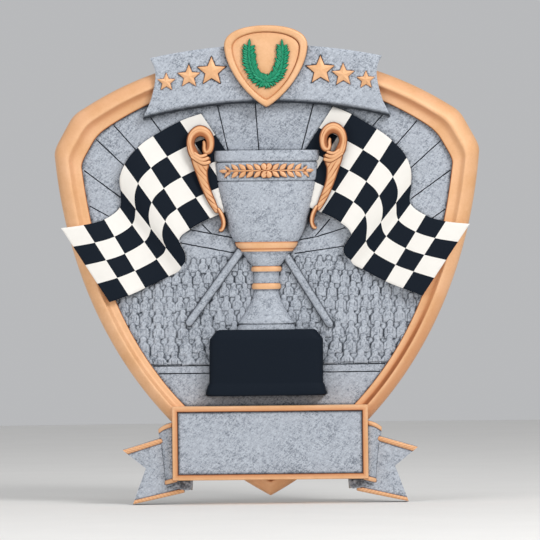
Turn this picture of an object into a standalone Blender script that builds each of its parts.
"""A hand-painted shield plaque, cast in one piece: a two-handled cup on a block, between
two waving chequered flags, inside a moulded shield frame with a starred banner and a crest
above, and a name plate with ribbon ends below. The back is flat, with a keyhole to hang it.

Positions on the plaque are in millimetres: x to the right and z up from the middle of the
back, and height forward from the back. The front faces -Y.
"""

import math

import bmesh
import bpy
from mathutils import Vector

MM = 0.001
FLAT_WITHIN = 2e-7

# Heights above the flat back
BELOW_BACK = -3.0
ROOT = 5.5
PANEL = 8.0
GROOVE_DEPTH = 0.6
FRAME_RIDGE = 13.6
BANNER = 15.6
CREST_RIM = 19.4
CREST_FIELD = 18.3
PLATE_RIM = 21.0
PLATE_FIELD = 19.6
CUP_AXIS = 7.5
CUP_DEPTH = 4.0
CUP_DEPTH_PER_WIDTH = 0.27
BASE_DEPTH = 12.5
POLE = 11.0
HANDLE = 17.2
RIBBON_TAIL = 12.0
RIBBON_FOLD = 15.5
CROWD = 8.6

# Across a strand: the side reached and the share of its drop, from edge to edge
STRAND_SECTION = ((-1.0, 1.0), (-0.72, 0.32), (0.0, 0.0), (0.72, 0.32), (1.0, 1.0))
STRAND_DROP = 1.4

# The shield's outline, right half: a broad arc over the top, two corners, a long curved side
OUTER_ARC_RADIUS = 172.0
OUTER_ARC_CENTRE = -65.5
OUTER_CORNERS = ((97.2, 77.1), (107.6, 58.2))
OUTER_SIDE = ((107.0, 55.0), (103.1, 12.6), (85.5, -70.0), (0.0, -116.5))
INNER_ARC_RADIUS = 145.0
INNER_ARC_CENTRE = -51.0
INNER_CORNERS = ((85.2, 66.6), (93.8, 51.6))
INNER_SIDE = ((93.2, 49.0), (86.5, -6.8), (66.2, -67.2), (0.0, -102.9))
CORNER_CUT = 5.0
ARC_STEPS = 5
SIDE_STEPS = 14

# The moulding from its outer edge, at 0, to its inner edge, at 1
MOULDING = (
    (0.00, 6.6),
    (0.06, 8.8),
    (0.26, 12.0),
    (0.49, FRAME_RIDGE),
    (0.56, 12.9),
    (0.74, 11.0),
    (0.95, 10.6),
    (1.00, 10.0),
)

BANNER_TOP = 110.7
BANNER_BOTTOM = 82.3
BANNER_TOP_DROP = 0.00182
BANNER_BOTTOM_DROP = 0.00202
BANNER_END = ((0.0, 62.3), (0.25, 58.4), (0.55, 56.0), (0.78, 55.9), (1.0, 58.4))
BANNER_STEPS = 11
BANNER_END_LIFT = 0.5
BANNER_EDGE_FALL = 0.4

STARS = ((27.4, 97.4, 7.4), (38.8, 95.0, 6.0), (50.2, 92.3, 4.8))
STAR_WAIST = 0.45
STAR_RIM = 0.9
STAR_PEAK = 1.6
STAR_ROOT = 2.0

CREST_TOP = ((0.0, 120.3), (11.0, 120.3), (20.6, 117.5), (21.0, 110.5))
CREST_SIDE = ((21.0, 110.5), (21.0, 101.0), (12.5, 86.5), (0.3, 79.2))
FIELD_TOP = ((0.0, 116.8), (9.0, 116.8), (16.6, 114.0), (16.8, 109.3))
FIELD_SIDE = ((16.8, 109.3), (16.8, 101.0), (10.0, 89.0), (0.4, 83.0))
CREST_TOP_STEPS = 5
CREST_SIDE_STEPS = 8

CREST_BORDER = (
    (0.0, CREST_RIM - 1),
    (0.2, CREST_RIM),
    (0.85, CREST_RIM - 0.1),
    (1.0, CREST_FIELD),
)

WREATH = ((0.0, 92.0), (7.0, 92.0), (8.2, 101.0), (8.7, 109.5))
WREATH_PAIRS = 7
WREATH_START = 0.4
WREATH_LEAF = (4.6, 2.5)
WREATH_SPREAD = 0.62
WREATH_RAISED = 0.8

CUP_LEAN = 0.0125
CUP_CENTRE = -0.9
CUP_LIP = ((57.5, 26.9), (57.0, 27.3), (52.2, 26.9), (51.7, 26.3))
CUP_LAUREL_BAND = ((51.2, 26.6), (42.5, 25.8), (42.0, 25.3))
CUP_BOWL = ((25.6, 41.5), (25.6, 41.5), (22.2, 20.0), (15.9, 11.6))
CUP_GOLD_BAND = ((11.3, 16.2), (9.2, 15.3), (7.2, 13.7))
CUP_STEM = ((6.7, 12.7), (2.5, 9.8), (-0.7, 7.1))
CUP_UPPER_RING = ((-1.0, 7.4), (-2.2, 7.8), (-3.5, 7.3))
CUP_NECK = ((-3.9, 6.5), (-9.2, 6.5))
CUP_LOWER_RING = ((-9.6, 7.1), (-11.0, 7.5), (-12.5, 7.0))
CUP_FOOT = ((6.2, -12.9), (6.6, -17.0), (9.6, -23.0), (14.2, -29.8))
CUP_FOOT_STEPS = 5
CUP_BOWL_STEPS = 6
CUP_PLINTH = ((-30.2, 14.0), (-34.0, 15.2))
CUP_ROUNDNESS = 0.8
CUP_SIDES = 10

BASE_PROFILE = (
    (-32.9, 25.0),
    (-37.4, 28.6),
    (-59.6, 28.7),
    (-60.6, 29.3),
    (-64.5, 30.5),
    (-66.0, 29.6),
)
BASE_ROUNDNESS = 0.3
BASE_SIDES = 11

LAUREL_HEIGHT = 47.2
LAUREL_PITCH = 4.1
LAUREL_PAIRS = 5
LAUREL_START = 2.4
LAUREL_SPREAD = 0.75
LAUREL_LEAF = (4.6, 2.5)
LAUREL_RAISED = 0.6
LAUREL_LOBE = (4.4, 3.4)
LAUREL_LOBE_START = 1.6
LAUREL_LOBE_RAISED = 0.8
LAUREL_BOSS_RIM = 0.2
LAUREL_BOSS_PEAK = 0.7
LEAF_OVERLAP = 0.7
LEAF_TILT = 0.07
LEAF_BROADEST = 0.45
LEAF_PEAK = 0.5
LEAF_ROOT = 2.5

HANDLE_BODY = (
    (25.0, 27.0, 1.3),
    (28.3, 33.4, 2.0),
    (31.4, 41.0, 2.3),
    (32.9, 48.0, 3.3),
    (33.5, 54.0, 5.0),
)
HANDLE_SCROLL = (
    (36.4, 54.0, 2.1), (38.2, 58.0, 1.9), (38.5, 62.4, 1.9), (37.2, 66.2, 2.3), (34.0, 68.4, 2.8),
    (30.8, 67.6, 2.6), (28.8, 65.0, 2.2), (28.3, 61.6, 1.9), (28.9, 58.4, 1.7), (30.5, 55.8, 1.6),
)
HANDLE_BODY_DROP = 2.0
HANDLE_FOOT_LOWER = 2.4
HANDLE_CURL = ((29.4, 56.8), (32.0, 58.4), (31.3, 62.6))
HANDLE_CURL_WIDTH = 1.2
HANDLE_CURL_LOWER = 0.7
HANDLE_COLLAR = ((28.2, 53.6), (33.4, 52.2), (39.0, 54.8))
HANDLE_COLLAR_WIDTH = 1.1
HANDLE_COLLAR_PROUD = 0.5
HANDLE_HOOK = ((24.3, 28.0), (22.7, 24.9), (22.3, 21.8), (23.0, 19.0), (24.7, 18.4))
HANDLE_HOOK_WIDTH = 1.15
HANDLE_HOOK_LOWER = 2.0
LEFT_HANDLE_DROP = 0.8

# Each flag's top edge and bottom edge at the borders of its nine columns, from the pole out
RIGHT_FLAG_TOP = (
    (33.6, 79.4), (42.9, 75.2), (55.5, 67.6), (63.0, 61.7), (70.3, 52.9),
    (72.4, 39.8), (72.1, 29.9), (79.6, 23.9), (89.6, 20.7), (101.6, 19.3),
)
RIGHT_FLAG_BOTTOM = (
    (5.0, 36.0), (14.5, 31.5), (27.0, 26.0), (36.7, 20.7), (42.0, 14.7),
    (41.7, 1.7), (47.3, -2.8), (59.0, -9.1), (67.6, -12.7), (77.4, -16.7),
)
LEFT_FLAG_TOP = (
    (-33.0, 76.4), (-43.6, 72.7), (-57.3, 65.3), (-64.9, 59.6), (-71.7, 51.0),
    (-73.9, 38.4), (-74.5, 29.6), (-82.3, 23.6), (-92.7, 20.9), (-104.0, 19.5),
)
LEFT_FLAG_BOTTOM = (
    (-4.5, 33.0), (-15.0, 29.0), (-29.0, 23.6), (-39.2, 18.1), (-44.8, 12.6),
    (-43.9, -0.8), (-50.1, -5.4), (-62.0, -11.1), (-70.4, -14.8), (-80.1, -18.1),
)
FLAG_WAVE = (10.4, 11.4, 13.0, 14.6, 15.0, 12.2, 10.4, 12.6, 15.2, 15.8)
FLAG_ROWS = 4

# The column where the flag turns over, and how far it swells to the right at each quarter of
# that column: along its rows, and along the hem
FLAG_FOLD = 4
RIGHT_FLAG_SWELL = ((0.0, 0.3, 0.6, 0.6), (0.0, -1.9, -3.8, -2.8))
LEFT_FLAG_SWELL = ((0.0, -0.6, -1.0, -0.8), (0.0, 1.6, 2.6, 2.0))

LEFT_POLE = ((-12.0, 9.5), (-41.3, -30.4))
RIGHT_POLE = ((9.0, 4.6), (31.6, -32.0))
POLE_WIDTH = 2.2

PLATE = (49.2, -71.0, -108.1)
PLATE_BORDER = ((0.0, 19.6), (0.7, PLATE_RIM), (2.2, PLATE_RIM), (2.9, PLATE_FIELD))

RIBBON_TAIL_TOP = ((46.0, -84.3), (74.4, -92.7))
RIBBON_TAIL_BOTTOM = ((43.4, -114.4), (69.4, -120.0))
RIBBON_NOTCH = (62.8, -102.0)
RIBBON_NOTCH_SHARE = 0.34
RIBBON_EDGE_RAISED = 0.7
RIBBON_TAIL_ARCH = 1.2
RIBBON_TAIL_STEPS = 4
RIBBON_FOLD_CREST = 0.6
RIBBON_FOLD_FALL = (0.4, 2.0)

# Down a ribbon: the share of the way, and whether the gold edge stands proud there
RIBBON_TAIL_EDGES = (
    (0.0, 1), (0.065, 1), (0.085, 0), (RIBBON_NOTCH_SHARE, 0), (0.915, 0), (0.935, 1), (1.0, 1),
)
RIBBON_FOLD_EDGES = ((0.0, 1), (0.07, 1), (0.09, 0), (0.91, 0), (0.93, 1), (1.0, 1))
RIBBON_FOLD_STRIP = ((47.0, -78.7), (56.3, -82.4), (53.2, -110.4), (47.0, -108.8))
RIBBON_FOLD_BOW = 0.9
RIBBON_CURL_STRIP = ((52.4, -109.4), (51.8, -111.9), (39.6, -113.7), (39.2, -108.0))
RIBBON_CURL = (11.0, 11.6)

# Joints between the blocks of the wall behind, each from point to point
WALL_JOINTS = (
    (59.0, 75.4, 53.4, 69.2), (75.9, 71.8, 65.0, 59.5), (87.6, 61.4, 71.6, 47.2),
    (92.5, 46.7, 72.4, 32.3), (89.6, 27.0, 83.1, 22.5), (23.9, 81.6, 17.3, 57.0),
    (-5.7, 82.4, -4.0, 57.0), (-24.9, 81.4, -19.5, 57.0), (-58.6, 75.0, -53.4, 67.8),
    (-77.0, 71.0, -65.8, 58.2), (-86.0, 64.1, -72.0, 50.6), (-92.3, 48.4, -74.0, 34.7),
    (-89.7, 30.5, -80.0, 25.1), (-44.2, 11.4, -16.4, 5.9), (-39.4, 18.1, -16.6, 13.4),
    (-33.2, 20.6, -28.5, 15.9), (15.4, 12.2, 23.8, 13.6), (24.0, 13.5, 39.0, 18.2),
    (13.4, 5.4, 38.6, 8.9), (31.4, 22.6, 23.8, 13.9), (-58.6, -50.6, -28.0, -50.6),
    (26.0, -50.6, 58.4, -50.6), (-55.8, -54.5, -28.0, -54.5), (26.0, -54.5, 55.8, -54.5),
)
JOINT_WIDTH = 0.9
JOINT_OVERCUT = 0.6

# Rows of the crowd: height of the heads' tops, spacing, and offset in spacings
CROWD_ROWS = (
    (4.0, 5.3, 0.0), (-2.4, 5.3, 0.5), (-8.8, 5.5, 0.0), (-15.2, 5.8, 0.5),
    (-21.6, 6.1, 0.0), (-28.2, 6.5, 0.5), (-35.4, 6.9, 0.0), (-42.9, 7.2, 0.5),
)

# One onlooker's outline in spacings: shoulders, neck and top of the head, from left to right
FIGURE = (
    (-0.45, -0.95), (-0.23, -0.42), (-0.17, -0.05),
    (0.17, -0.05), (0.23, -0.42), (0.45, -0.95),
)

# How far the crowd stands clear of its neighbours, in spacings, and below the flags
FIGURE_CLEARANCE = 0.35
FIGURE_BELOW_FLAG = 1.0
FIGURES_EACH_SIDE = 16
CROWD_TOP = 4.5

KEYHOLE_CENTRE = 92.0
KEYHOLE_TOP = 100.0
KEYHOLE_POCKET = (6.0, 7.0)
KEYHOLE_CHANNEL = (4.8, 2.6, 6.8)
KEYHOLE_SLOT = (2.6, 3.2)
KEYHOLE_STEPS = 8
CUTTER_OVER = 1.0
CUTTER_REACH = 150.0

PAINTS = {
    "gold_paint": ((0.86, 0.55, 0.29), 0.5),
    "stone_grey_paint": ((0.40, 0.44, 0.49), 0.7),
    "black_paint": ((0.014, 0.018, 0.026), 0.55),
    "white_paint": ((0.87, 0.85, 0.81), 0.6),
    "green_paint": ((0.01, 0.29, 0.14), 0.6),
}


def clear_scene():
    for found in list(bpy.data.objects):
        bpy.data.objects.remove(found)


def make_paints():
    for name, (colour, roughness) in PAINTS.items():
        paint = bpy.data.materials.new(name)
        paint.use_nodes = True
        shader = paint.node_tree.nodes["Principled BSDF"]
        shader.inputs["Base Color"].default_value = (*colour, 1.0)
        shader.inputs["Roughness"].default_value = roughness
        shader.inputs["Metallic"].default_value = 0.0


def place(x, z, height):
    return Vector((x, -height, z)) * MM


def bezier(points, share):
    """The point at this share of the way along a cubic curve."""
    rest = 1 - share
    weights = (rest**3, 3 * rest**2 * share, 3 * rest * share**2, share**3)
    return tuple(sum(w * p[k] for w, p in zip(weights, points)) for k in (0, 1))


def between(start, end, share):
    return tuple(a + (b - a) * share for a, b in zip(start, end))


def smooth_path(points, steps):
    """Points on a smooth curve through the given ones, with this many steps in each span."""
    ends = (points[0], *points, points[-1])
    path = []
    for before, start, end, after in zip(ends, ends[1:], ends[2:], ends[3:]):
        for step in range(steps):
            t = step / steps
            path.append(
                tuple(
                    0.5
                    * (
                        2 * b
                        + (c - a) * t
                        + (2 * a - 5 * b + 4 * c - d) * t**2
                        + (3 * b - a - 3 * c + d) * t**3
                    )
                    for a, b, c, d in zip(before, start, end, after)
                )
            )
    path.append(tuple(points[-1]))
    return path


def opposite(turn, flip):
    """The same turn for the right side, or its mirror image for the left."""
    return turn if flip == 1 else math.pi - turn


def mirrored(points):
    return [(-x, *rest) for x, *rest in points]


def warped(face):
    """Whether a four-sided face isn't flat."""
    if len(face.verts) != 4:
        return False
    a, b, c, d = (vertex.co for vertex in face.verts)
    return abs((b - a).cross(c - a).normalized().dot(d - a)) > FLAT_WITHIN


def make_object(name, mesh_data, paints, group):
    """A closed shape with flat faces that point out, kept as a guide for the casting."""
    bmesh.ops.triangulate(mesh_data, faces=[face for face in mesh_data.faces if warped(face)])
    bmesh.ops.recalc_face_normals(mesh_data, faces=mesh_data.faces)
    mesh = bpy.data.meshes.new(name)
    mesh_data.to_mesh(mesh)
    mesh_data.free()
    for paint in paints:
        mesh.materials.append(bpy.data.materials[paint])
    made = bpy.data.objects.new(name, mesh)
    group.objects.link(made)
    made.display_type = "WIRE"
    made.hide_render = True
    return made


def ring_solid(name, rings, paint, group):
    """Closed rings of (x, z, height), one inside the next, with both ends capped."""
    shape = bmesh.new()
    loops = [[shape.verts.new(place(*point)) for point in ring] for ring in rings]
    for lower, upper in zip(loops, loops[1:]):
        for k in range(len(lower)):
            shape.faces.new((lower[k - 1], lower[k], upper[k], upper[k - 1]))
    shape.faces.new(loops[0])
    shape.faces.new(loops[-1])
    return make_object(name, shape, [paint], group)


def sheet_solid(name, rows, root, paints, group, paint_of=None):
    """A modelled front surface, rows of (x, z, height), with straight walls down to root."""
    shape = bmesh.new()
    front = [[shape.verts.new(place(*point)) for point in row] for row in rows]
    for j, (lower, upper) in enumerate(zip(front, front[1:])):
        for i in range(len(lower) - 1):
            face = shape.faces.new((lower[i], lower[i + 1], upper[i + 1], upper[i]))
            face.material_index = paint_of(j, i) if paint_of else 0
    rim = front[0] + [row[-1] for row in front[1:-1]]
    rim += front[-1][::-1] + [row[0] for row in front[-2:0:-1]]
    foot = [shape.verts.new((vertex.co.x, -root * MM, vertex.co.z)) for vertex in rim]
    for k in range(len(rim)):
        shape.faces.new((rim[k - 1], rim[k], foot[k], foot[k - 1]))
    shape.faces.new(foot)
    return make_object(name, shape, paints, group)


def peak_solid(name, outline, rim, peak, root, paint, group):
    """An upright outline that rises in facets from its rim to one peak (x, z, height)."""
    shape = bmesh.new()
    foot = [shape.verts.new(place(x, z, root)) for x, z in outline]
    edge = [shape.verts.new(place(x, z, rim)) for x, z in outline]
    top = shape.verts.new(place(*peak))
    for k in range(len(outline)):
        shape.faces.new((foot[k - 1], foot[k], edge[k], edge[k - 1]))
        shape.faces.new((edge[k - 1], edge[k], top))
    shape.faces.new(foot)
    return make_object(name, shape, [paint], group)


def strand(name, path, widths, top, drop, paint, group):
    """A round-topped strand along a path of (x, z), with a half width at each point."""
    rows = []
    for side, share in STRAND_SECTION:
        row = []
        for k, (x, z) in enumerate(path):
            before = path[max(k - 1, 0)]
            after = path[min(k + 1, len(path) - 1)]
            along = Vector((after[0] - before[0], after[1] - before[1])).normalized()
            offset = side * widths[k]
            row.append((x + along.y * offset, z - along.x * offset, top[k] - share * drop))
        rows.append(row)
    sheet_solid(name, rows, ROOT, [paint], group)


def rounded(start, corner, end):
    """Points after start on the curve that rounds a corner."""
    softened = (start, between(start, corner, 2 / 3), between(end, corner, 2 / 3), end)
    return [bezier(softened, step / 3) for step in (1, 2, 3)]


def shield_half(arc_radius, arc_centre, corners, side):
    """The right half of a shield outline, from the middle of the top to the tip."""
    first, second = (Vector(corner) for corner in corners)
    arc_end = first.x - CORNER_CUT
    points = []
    for step in range(ARC_STEPS + 1):
        x = arc_end * step / ARC_STEPS
        points.append((x, arc_centre + math.sqrt(arc_radius**2 - x**2)))
    along = (second - first).normalized()
    after_first = first + along * CORNER_CUT
    before_second = second - along * CORNER_CUT
    points += rounded(points[-1], first, after_first)
    points.append(tuple(before_second))
    points += rounded(before_second, second, side[0])[:-1]
    points += [bezier(side, step / SIDE_STEPS) for step in range(SIDE_STEPS + 1)]
    return points


def whole_outline(half):
    """A closed outline from its right half, whose ends lie on the middle line."""
    left = [(-x, z) for x, z in half[-2:0:-1]]
    return [*half, *left]


def shield(group):
    outer = whole_outline(shield_half(OUTER_ARC_RADIUS, OUTER_ARC_CENTRE, OUTER_CORNERS, OUTER_SIDE))
    inner = whole_outline(shield_half(INNER_ARC_RADIUS, INNER_ARC_CENTRE, INNER_CORNERS, INNER_SIDE))
    rings = [[(*point, BELOW_BACK) for point in outer]]
    for share, height in MOULDING:
        rings.append([(*between(a, b, share), height) for a, b in zip(outer, inner)])
    rings.append([(*point, PANEL) for point in inner])
    casting = ring_solid("shield_plaque", rings, "gold_paint", group)
    casting.data.materials.append(bpy.data.materials["stone_grey_paint"])
    casting.data.polygons[-1].material_index = 1
    return casting


def wall_joint(number, ends, group):
    x0, z0, x1, z1 = ends
    along = Vector((x1 - x0, z1 - z0)).normalized()
    side = Vector((-along.y, along.x)) * JOINT_WIDTH / 2
    over = side * (1 + JOINT_OVERCUT)
    top = PANEL + GROOVE_DEPTH * JOINT_OVERCUT
    deep = PANEL - GROOVE_DEPTH
    rings = []
    for x, z in ((x0, z0), (x1, z1)):
        rings.append([(x - over.x, z - over.y, top), (x, z, deep), (x + over.x, z + over.y, top)])
    ring_solid(f"wall_joint_{number}", rings, "black_paint", group)


def banner(group):
    rows = []
    for share, end in BANNER_END:
        row = []
        for step in range(-BANNER_STEPS, BANNER_STEPS + 1):
            x = end * step / BANNER_STEPS
            low = BANNER_BOTTOM - BANNER_BOTTOM_DROP * x * x
            high = BANNER_TOP - BANNER_TOP_DROP * x * x
            roll = BANNER_END_LIFT * (x / end) ** 4 - BANNER_EDGE_FALL * (2 * share - 1) ** 2
            row.append((x, low + (high - low) * share, BANNER + roll))
        rows.append(row)
    sheet_solid("banner", rows, BELOW_BACK, ["stone_grey_paint"], group)


def star(name, x, z, radius, group):
    outline = []
    for k in range(10):
        reach = radius * (1 if k % 2 == 0 else STAR_WAIST)
        turn = math.radians(90 + 36 * k)
        outline.append((x + reach * math.cos(turn), z + reach * math.sin(turn)))
    peak = (x, z, BANNER + STAR_PEAK)
    peak_solid(name, outline, BANNER + STAR_RIM, peak, BANNER - STAR_ROOT, "gold_paint", group)


def stars(group):
    for k, (x, z, radius) in enumerate(STARS):
        star(f"right_star_{k + 1}", x, z, radius, group)
        star(f"left_star_{k + 1}", -x, z, radius, group)


def crest_outline(top, side):
    half = [bezier(top, step / CREST_TOP_STEPS) for step in range(CREST_TOP_STEPS)]
    half += [bezier(side, step / CREST_SIDE_STEPS) for step in range(CREST_SIDE_STEPS + 1)]
    half[-1] = (0.0, half[-1][1])
    return whole_outline(half)


def crest(group):
    outer = crest_outline(CREST_TOP, CREST_SIDE)
    field = crest_outline(FIELD_TOP, FIELD_SIDE)
    rings = [[(*point, BELOW_BACK) for point in outer]]
    for share, height in CREST_BORDER:
        rings.append([(*between(a, b, share), height) for a, b in zip(outer, field)])
    ring_solid("crest", rings, "gold_paint", group)


def leaf(name, stem, turn, size, rim, paint, group):
    """A pointed leaf from a stem at (x, z), turned from the x axis, with a raised middle."""
    length, width = size
    along = Vector((math.cos(turn), math.sin(turn)))
    side = Vector((-along.y, along.x)) * width / 2
    stalk = Vector(stem) - along * LEAF_OVERLAP
    rim += LEAF_TILT * math.sin(turn)
    broadest = stalk + along * length * LEAF_BROADEST
    outline = [stalk, broadest + side, stalk + along * length, broadest - side]
    middle = stalk + along * length / 2
    peak = (middle.x, middle.y, rim + LEAF_PEAK)
    peak_solid(name, outline, rim, peak, rim - LEAF_ROOT, paint, group)


def wreath(group):
    for word, flip in (("right", 1), ("left", -1)):
        for k in range(WREATH_PAIRS + 1):
            share = (k + WREATH_START) / (WREATH_PAIRS + WREATH_START)
            x, z = bezier(WREATH, share)
            further = bezier(WREATH, share + 0.01)
            course = math.atan2(further[1] - z, further[0] - x)
            for side in (-1, 1) if k < WREATH_PAIRS else (0,):
                turn = opposite(course + WREATH_SPREAD * side, flip)
                name = f"{word}_wreath_leaf_{k}_{side + 1}"
                rim = CREST_FIELD + WREATH_RAISED
                leaf(name, (flip * x, z), turn, WREATH_LEAF, rim, "green_paint", group)


def cup_profile():
    """The turned outline of the cup from lip to foot, as (z, half width)."""
    bowl = [bezier(CUP_BOWL, step / CUP_BOWL_STEPS) for step in range(CUP_BOWL_STEPS + 1)]
    foot = [bezier(CUP_FOOT, step / CUP_FOOT_STEPS) for step in range(CUP_FOOT_STEPS + 1)]
    return [
        *CUP_LIP,
        *CUP_LAUREL_BAND,
        *[(z, x) for x, z in bowl],
        *CUP_GOLD_BAND,
        *CUP_STEM,
        *CUP_UPPER_RING,
        *CUP_NECK,
        *CUP_LOWER_RING,
        *[(z, x) for x, z in foot],
        *CUP_PLINTH,
    ]


def cup_middle(z):
    return CUP_CENTRE + CUP_LEAN * z


def half_round(name, profile, depth_of, roundness, sides, paints, group, paint_of=None):
    """A flattened half-round relief whose outline is the profile of (z, half width)."""
    rows = []
    for z, half_width in profile:
        row = []
        for step in range(sides + 1):
            turn = math.pi * step / sides
            across = math.copysign(abs(math.cos(turn)) ** roundness, math.cos(turn))
            out = abs(math.sin(turn)) ** roundness
            row.append((cup_middle(z) - half_width * across, z, CUP_AXIS + depth_of(half_width) * out))
        rows.append(row)
    sheet_solid(name, rows, ROOT, paints, group, paint_of)


def cup_front(half_width):
    return CUP_DEPTH + CUP_DEPTH_PER_WIDTH * half_width


def cup(group):
    profile = cup_profile()
    gold = CUP_GOLD_BAND[:-1] + CUP_UPPER_RING[:-1] + CUP_LOWER_RING[:-1]

    def ring_or_grey(row, side):
        return int(profile[row] in gold)

    paints = ["stone_grey_paint", "gold_paint"]
    half_round("cup", profile, cup_front, CUP_ROUNDNESS, CUP_SIDES, paints, group, ring_or_grey)

    def base_front(half_width):
        return BASE_DEPTH

    half_round("base", BASE_PROFILE, base_front, BASE_ROUNDNESS, BASE_SIDES, ["black_paint"], group)


def laurel_band(group):
    """Leaf pairs that point outward from a four-lobed middle, on the cup's band."""
    half_width = CUP_LAUREL_BAND[1][1]

    def front(x):
        """How far forward the cup's surface stands here."""
        share = min(abs(x - cup_middle(LAUREL_HEIGHT)) / half_width, 1)
        out = (1 - share ** (2 / CUP_ROUNDNESS)) ** (CUP_ROUNDNESS / 2)
        return CUP_AXIS + cup_front(half_width) * out

    for flip in (1, -1):
        for k in range(LAUREL_PAIRS + 1):
            x = cup_middle(LAUREL_HEIGHT) + flip * (LAUREL_START + LAUREL_PITCH * k)
            rim = front(x + flip * LAUREL_PITCH / 2) + LAUREL_RAISED
            for side in (-1, 1) if k < LAUREL_PAIRS else (0,):
                turn = opposite(LAUREL_SPREAD * side, flip)
                name = f"laurel_{flip + 1}_{k}_{side + 1}"
                leaf(name, (x, LAUREL_HEIGHT), turn, LAUREL_LEAF, rim, "gold_paint", group)
    middle = cup_middle(LAUREL_HEIGHT)
    rim = front(middle) + LAUREL_LOBE_RAISED

    def around(turn):
        x = middle + LAUREL_LOBE_START * math.cos(turn)
        return x, LAUREL_HEIGHT + LAUREL_LOBE_START * math.sin(turn)

    for k in range(4):
        turn = math.pi / 4 + math.pi / 2 * k
        leaf(f"laurel_lobe_{k}", around(turn), turn, LAUREL_LOBE, rim, "gold_paint", group)
    boss = [around(math.pi / 3 * k) for k in range(6)]
    peak = (middle, LAUREL_HEIGHT, rim + LAUREL_BOSS_PEAK)
    peak_solid("laurel_boss", boss, rim + LAUREL_BOSS_RIM, peak, rim - LEAF_ROOT, "gold_paint", group)


def handle(word, flip, drop, group):
    def side(points):
        moved = [(x, z - drop, *rest) for x, z, *rest in points]
        return moved if flip == 1 else mirrored(moved)

    body = side(HANDLE_BODY)
    last = len(body) - 1
    tops = [HANDLE - HANDLE_FOOT_LOWER * (1 - k / last) for k in range(len(body))]
    path, widths = [point[:2] for point in body], [point[2] for point in body]
    strand(f"{word}_handle", path, widths, tops, HANDLE_BODY_DROP, "gold_paint", group)
    scroll = side(HANDLE_SCROLL)
    path, widths = [point[:2] for point in scroll], [point[2] for point in scroll]
    tops = [HANDLE] * len(path)
    strand(f"{word}_handle_scroll", path, widths, tops, STRAND_DROP, "gold_paint", group)
    for name, points, width, top in (
        ("curl", HANDLE_CURL, HANDLE_CURL_WIDTH, HANDLE - HANDLE_CURL_LOWER),
        ("collar", HANDLE_COLLAR, HANDLE_COLLAR_WIDTH, HANDLE + HANDLE_COLLAR_PROUD),
        ("hook", HANDLE_HOOK, HANDLE_HOOK_WIDTH, HANDLE - HANDLE_HOOK_LOWER),
    ):
        path = side(points)
        widths, tops = [width] * len(path), [top] * len(path)
        strand(f"{word}_handle_{name}", path, widths, tops, STRAND_DROP, "gold_paint", group)


def flag(word, top_edge, bottom_edge, swell, group):
    """Nine columns and four rows of checks on folds that run along the hoist, modelled at
    every half of a column and at every quarter of the fold."""
    top, bottom, wave = (
        smooth_path(points, 4) for points in (top_edge, bottom_edge, [(height,) for height in FLAG_WAVE])
    )
    quarters = [k for k in range(len(top)) if k % 2 == 0 or k // 4 == FLAG_FOLD]
    rows = []
    for j in range(FLAG_ROWS + 1):
        row = []
        for k in quarters:
            x, z = between(top[k], bottom[k], j / FLAG_ROWS)
            if k // 4 == FLAG_FOLD:
                x += swell[j == FLAG_ROWS][k % 4]
            row.append((x, z, wave[k][0]))
        rows.append(row)

    def check(j, i):
        return (j + quarters[i] // 4) % 2

    sheet_solid(f"{word}_flag", rows, BELOW_BACK, ["white_paint", "black_paint"], group, check)


def pole(word, ends, group):
    path = [between(*ends, step / 2) for step in range(3)]
    widths = [POLE_WIDTH] * 3
    strand(f"{word}_pole", path, widths, [POLE] * 3, STRAND_DROP, "stone_grey_paint", group)


def plate(group):
    half_width, top, bottom = PLATE
    rings = []
    for inset, height in ((0.0, BELOW_BACK), *PLATE_BORDER):
        x, high, low = half_width - inset, top - inset, bottom + inset
        rings.append([(-x, low, height), (x, low, height), (x, high, height), (-x, high, height)])
    ring_solid("name_plate", rings, "gold_paint", group)


def ribbon_end(share):
    """The swallowtail's end at this share of the way from its upper to its lower tip."""
    if share <= RIBBON_NOTCH_SHARE:
        return between(RIBBON_TAIL_TOP[1], RIBBON_NOTCH, share / RIBBON_NOTCH_SHARE)
    further = (share - RIBBON_NOTCH_SHARE) / (1 - RIBBON_NOTCH_SHARE)
    return between(RIBBON_NOTCH, RIBBON_TAIL_BOTTOM[1], further)


def ribbon(word, flip, group):
    def turned(rows):
        return rows if flip == 1 else [mirrored(row) for row in rows]

    rows = []
    for share, proud in RIBBON_TAIL_EDGES:
        root = between(RIBBON_TAIL_TOP[0], RIBBON_TAIL_BOTTOM[0], share)
        tip = ribbon_end(share)
        row = []
        for step in range(RIBBON_TAIL_STEPS + 1):
            along = step / RIBBON_TAIL_STEPS
            lift = RIBBON_TAIL_ARCH * math.sin(math.pi * along)
            row.append((*between(root, tip, along), RIBBON_TAIL + lift + RIBBON_EDGE_RAISED * proud))
        rows.append(row)
    sheet_solid(f"{word}_ribbon_tail", turned(rows), BELOW_BACK, ["stone_grey_paint"], group)
    top_in, top_out, low_out, low_in = RIBBON_FOLD_STRIP
    rows = []
    for share, proud in RIBBON_FOLD_EDGES:
        inner, outer = between(top_in, low_in, share), between(top_out, low_out, share)
        front = RIBBON_FOLD + RIBBON_EDGE_RAISED * proud
        crest_fall, edge_fall = RIBBON_FOLD_FALL
        crest_x, crest_z = between(inner, outer, RIBBON_FOLD_CREST)
        crest_point = (crest_x, crest_z + RIBBON_FOLD_BOW * (1 - share))
        rows.append([(*inner, front), (*crest_point, front - crest_fall), (*outer, front - edge_fall)])
    sheet_solid(f"{word}_ribbon_fold", turned(rows), BELOW_BACK, ["stone_grey_paint"], group)
    a, b, c, d = RIBBON_CURL_STRIP
    low, high = RIBBON_CURL
    rows = [[(*a, low), (*d, high)], [(*b, low), (*c, high)]]
    sheet_solid(f"{word}_ribbon_curl", turned(rows), BELOW_BACK, ["stone_grey_paint"], group)


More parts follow.
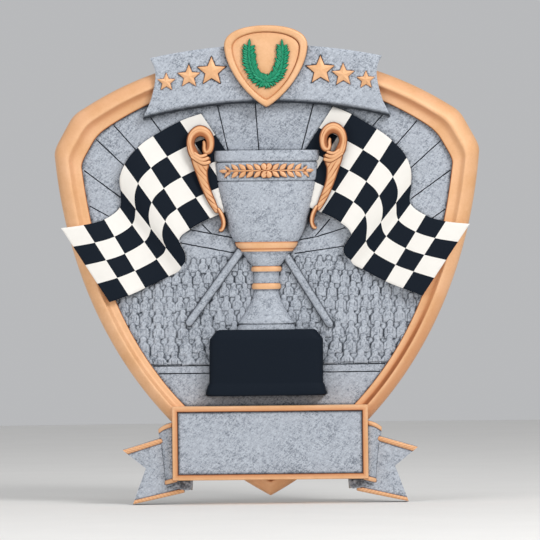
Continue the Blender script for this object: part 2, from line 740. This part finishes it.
def flag_edge_height(x):
    """The lower edge of the flag above this x, which the crowd stays under."""
    edge, swell = (
        (RIGHT_FLAG_BOTTOM, RIGHT_FLAG_SWELL) if x > 0 else (LEFT_FLAG_BOTTOM, LEFT_FLAG_SWELL)
    )
    middle = between(edge[FLAG_FOLD], edge[FLAG_FOLD + 1], 0.5)
    hem = [(middle[0] + swell[1][2], middle[1]), *edge[FLAG_FOLD + 1 :]]
    for (x0, z0), (x1, z1) in zip(hem, hem[1:]):
        if min(abs(x0), abs(x1)) <= abs(x) <= max(abs(x0), abs(x1)):
            return z0 + (z1 - z0) * (abs(x) - abs(x0)) / (abs(x1) - abs(x0))
    return CROWD_TOP


def frame_reach(z):
    """Half the width of the panel inside the frame at this height."""
    side = [bezier(INNER_SIDE, step / 40) for step in range(41)]
    return min(side, key=lambda point: abs(point[1] - z))[0]


def under_pole(x, z):
    (x0, z0), (x1, z1) = RIGHT_POLE if x > 0 else LEFT_POLE
    if not min(z0, z1) <= z <= max(z0, z1):
        return False
    along = Vector((x1 - x0, z1 - z0)).normalized()
    return abs((x - x0) * along.y - (z - z0) * along.x) < POLE_WIDTH


def cup_reach(z):
    """How far out the cup's stem, foot and block reach at this height."""
    if z < BASE_PROFILE[0][0]:
        return BASE_PROFILE[2][1]
    near = min(cup_profile(), key=lambda point: abs(point[0] - z))
    return near[1]


def crowd(group):
    """Rows of onlookers, each one a head above shoulders, in low relief on the panel."""
    for row, (top, pitch, offset) in enumerate(CROWD_ROWS):
        for k in range(-FIGURES_EACH_SIDE, FIGURES_EACH_SIDE + 1):
            x = cup_middle(top) + (k + offset) * pitch
            middle = top - pitch / 2
            clear = pitch * FIGURE_CLEARANCE
            if abs(x) > frame_reach(middle) - clear or top > flag_edge_height(x) + FIGURE_BELOW_FLAG:
                continue
            if abs(x) < cup_reach(middle) + clear or under_pole(x, middle):
                continue
            rings = []
            for height in (PANEL - 1, CROWD):
                rings.append([(x + a * pitch, top + b * pitch, height) for a, b in FIGURE])
            ring_solid(f"figure_{row}_{k}", rings, "stone_grey_paint", group)


def capsule(name, radius, low, high, deep, shallow, group):
    """An upright slot with round ends, cut from one depth to the other."""
    outline = []
    last = KEYHOLE_STEPS + (high != low)
    for start, centre in ((0.0, high), (math.pi, low)):
        for step in range(last):
            turn = start + math.pi * step / KEYHOLE_STEPS
            outline.append((radius * math.cos(turn), centre + radius * math.sin(turn)))
    rings = [[(*point, height) for point in outline] for height in (shallow, deep)]
    ring_solid(name, rings, "stone_grey_paint", group)


def back_cuts(group):
    """What takes the back flat, and the keyhole: a pocket for the screw's head, with an
    undercut channel behind a narrow slot above it."""
    reach = CUTTER_REACH
    corners = ((-reach, -reach), (reach, -reach), (reach, reach), (-reach, reach))
    rings = [[(*corner, height) for corner in corners] for height in (BELOW_BACK - CUTTER_OVER, 0.0)]
    ring_solid("behind_the_back", rings, "stone_grey_paint", group)
    radius, depth = KEYHOLE_POCKET
    capsule("keyhole_pocket", radius, KEYHOLE_CENTRE, KEYHOLE_CENTRE, depth, -CUTTER_OVER, group)
    radius, start, depth = KEYHOLE_CHANNEL
    capsule("keyhole_channel", radius, KEYHOLE_CENTRE, KEYHOLE_TOP, depth, start, group)
    radius, depth = KEYHOLE_SLOT
    capsule("keyhole_slot", radius, KEYHOLE_CENTRE, KEYHOLE_TOP, depth, -2 * CUTTER_OVER, group)


def new_group(name):
    group = bpy.data.collections.new(name)
    bpy.context.scene.collection.children.link(group)
    return group


def combine(casting, name, operation, group):
    step = casting.modifiers.new(name, "BOOLEAN")
    step.operation = operation
    step.solver = "EXACT"
    step.operand_type = "COLLECTION"
    step.collection = group
    step.material_mode = "TRANSFER"


def main():
    clear_scene()
    make_paints()
    casting = shield(bpy.context.scene.collection)
    casting.hide_render = False
    casting.display_type = "TEXTURED"
    joints, relief, cuts = (new_group(name) for name in ("wall_joints", "relief", "back_cuts"))
    for number, ends in enumerate(WALL_JOINTS):
        wall_joint(number, ends, joints)
    crowd(relief)
    banner(relief)
    stars(relief)
    crest(relief)
    wreath(relief)
    flag("right", RIGHT_FLAG_TOP, RIGHT_FLAG_BOTTOM, RIGHT_FLAG_SWELL, relief)
    flag("left", LEFT_FLAG_TOP, LEFT_FLAG_BOTTOM, LEFT_FLAG_SWELL, relief)
    pole("left", LEFT_POLE, relief)
    pole("right", RIGHT_POLE, relief)
    cup(relief)
    laurel_band(relief)
    handle("right", 1, 0.0, relief)
    handle("left", -1, LEFT_HANDLE_DROP, relief)
    plate(relief)
    ribbon("right", 1, relief)
    ribbon("left", -1, relief)
    back_cuts(cuts)
    combine(casting, "carve_wall_joints", "DIFFERENCE", joints)
    combine(casting, "cast_relief", "UNION", relief)
    combine(casting, "flat_back", "DIFFERENCE", cuts)


main()
